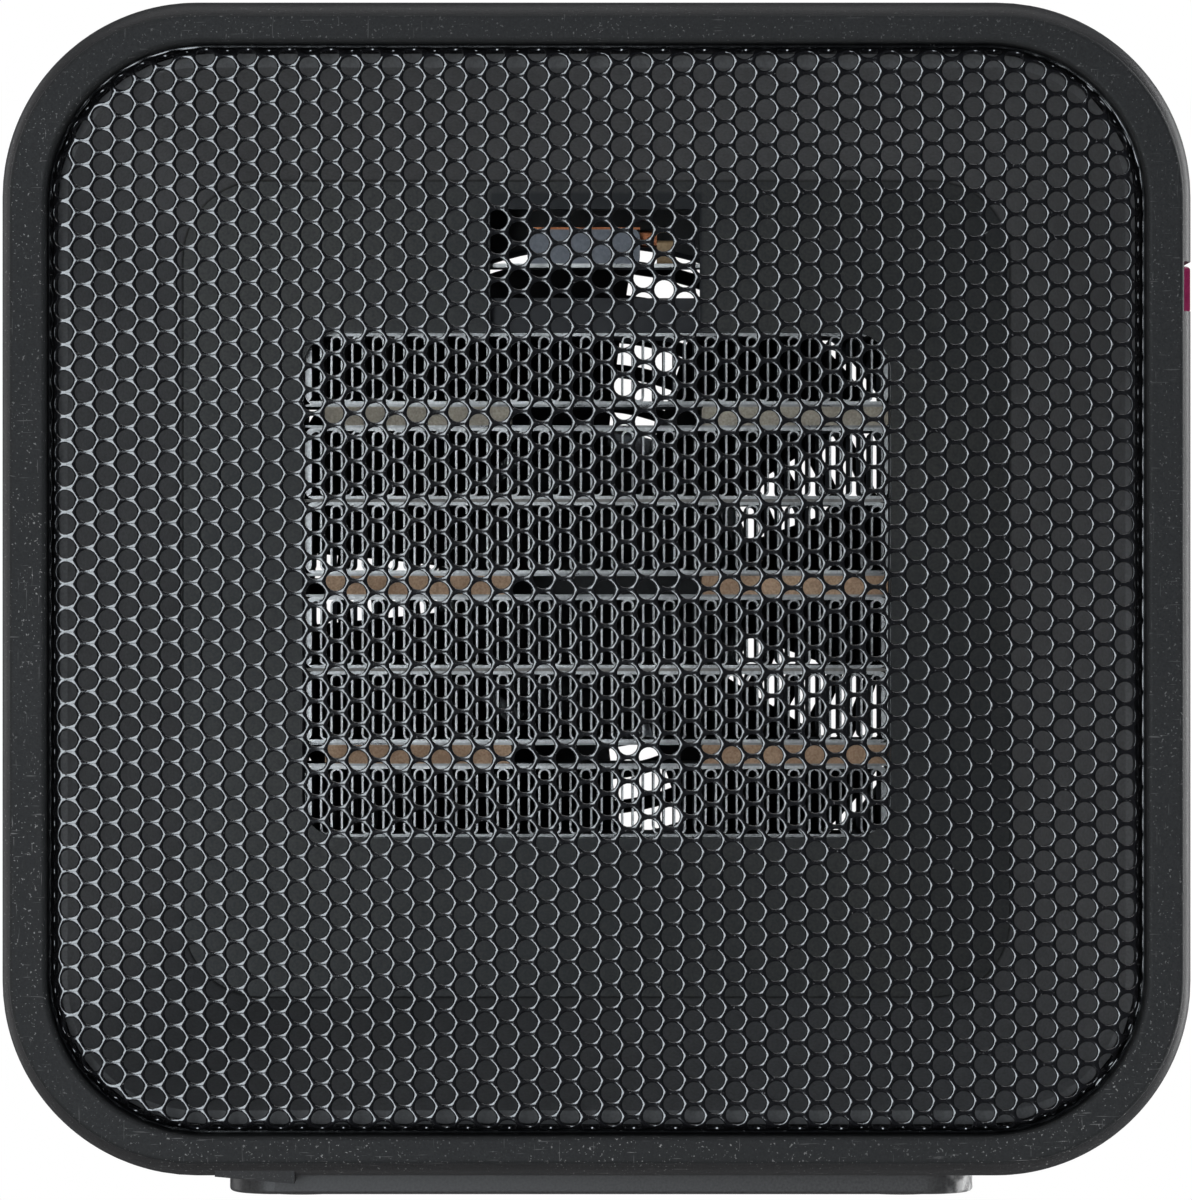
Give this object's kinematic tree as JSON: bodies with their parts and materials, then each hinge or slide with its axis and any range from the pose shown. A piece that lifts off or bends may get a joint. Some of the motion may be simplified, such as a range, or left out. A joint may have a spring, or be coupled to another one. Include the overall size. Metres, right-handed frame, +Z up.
{
  "type": "ceramic fan heater",
  "caption": "Small free-standing fan heater: perforated rounded-square front, ceramic and finned element, motor-driven fan, slotted rear, side rocker switch and rubber-padded foot.",
  "frame": {"origin": "on the standing surface, under the middle of the body", "axes": "+X to the right of the front, +Y from the front to the rear, +Z up"},
  "size_m": [0.1501, 0.084, 0.1505],
  "materials": {
    "casing_plastic": "matte, fine grain",
    "rim_plastic": "matte, fine grain",
    "grille_paint": "gloss",
    "duct_plastic": "matte",
    "fin_aluminium": "bright",
    "contact_aluminium": "bright",
    "stone_ceramic": "matte",
    "separator_mica": "satin",
    "frame_plastic": "matte",
    "strip_steel": "bright",
    "cutout_paint": "satin",
    "copper": "bright copper",
    "bead_ceramic": "matte",
    "shroud_plastic": "matte",
    "fan_plastic": "satin",
    "motor_steel": "plated",
    "motor_plastic": "matte",
    "magnet_ferrite": "matte",
    "core_steel": "laminated",
    "bush_bronze": "sintered",
    "brush_carbon": "matte",
    "terminal_brass": "bright",
    "screw_steel": "blackened",
    "foot_plastic": "satin",
    "pad_rubber": "matte",
    "switch_plastic": "matte",
    "rocker_red": "gloss, red",
    "grommet_rubber": "matte",
    "block_plastic": "satin",
    "board_laminate": "satin",
    "diode_plastic": "gloss"
  },
  "bodies": {
    "body": {"main_housing": "casing_plastic", "front_bezel": "rim_plastic", "front_grille": "grille_paint", "duct_panel": "duct_plastic", "fan_shroud": "shroud_plastic", "rear_cover": "casing_plastic", "rear_screws": "screw_steel", "element_screws": "screw_steel", "fin_row_1": "fin_aluminium", "contact_plate_1": "contact_aluminium", "ceramic_stone_1": "stone_ceramic", "fin_row_2": "fin_aluminium", "contact_plate_2": "contact_aluminium", "ceramic_stone_2": "stone_ceramic", "fin_row_3": "fin_aluminium", "contact_plate_3": "contact_aluminium", "ceramic_stone_3": "stone_ceramic", "fin_row_4": "fin_aluminium", "contact_plate_4": "contact_aluminium", "ceramic_stone_4": "stone_ceramic", "fin_row_5": "fin_aluminium", "contact_plate_5": "contact_aluminium", "ceramic_stone_5": "stone_ceramic", "fin_row_6": "fin_aluminium", "contact_plate_6": "contact_aluminium", "ceramic_stone_6": "stone_ceramic", "separators": "separator_mica", "element_frame_left": "frame_plastic", "element_frame_right": "frame_plastic", "cutout_strip": "strip_steel", "cutout_case": "cutout_paint", "cutout_leaf": "copper", "cutout_crimp": "copper", "cutout_bead": "bead_ceramic", "motor_can": "motor_steel", "front_bush": "bush_bronze", "rear_bush": "bush_bronze", "motor_cap": "motor_plastic", "motor_brushes": "brush_carbon", "motor_terminals": "terminal_brass", "motor_magnets": "magnet_ferrite", "motor_mount": "motor_steel", "mount_screws": "screw_steel", "motor_screws": "screw_steel", "foot": "foot_plastic", "foot_pads": "pad_rubber", "foot_screws": "screw_steel", "switch_body": "switch_plastic", "switch_terminals": "terminal_brass", "cord_grommet": "grommet_rubber", "terminal_block": "block_plastic", "rectifier_board": "board_laminate", "rectifier_diodes": "diode_plastic"},
    "fan": {"fan_impeller": "fan_plastic", "motor_shaft": "motor_steel", "armature_core": "core_steel", "armature_windings": "copper", "commutator": "copper"},
    "rocker": {"rocker_button": "rocker_red"}
  },
  "joints": [
    {"name": "fan_spin", "type": "hinge", "parent": "body", "child": "fan", "pos_m": [0, 0.02, 0.07675], "axis": [0, 1, 0], "continuous": true},
    {"name": "rocker_tip", "type": "hinge", "parent": "body", "child": "rocker", "pos_m": [0.0703, -0.0225, 0.11475], "axis": [0, 0, -1], "range_deg": [0, 15]}
  ]
}
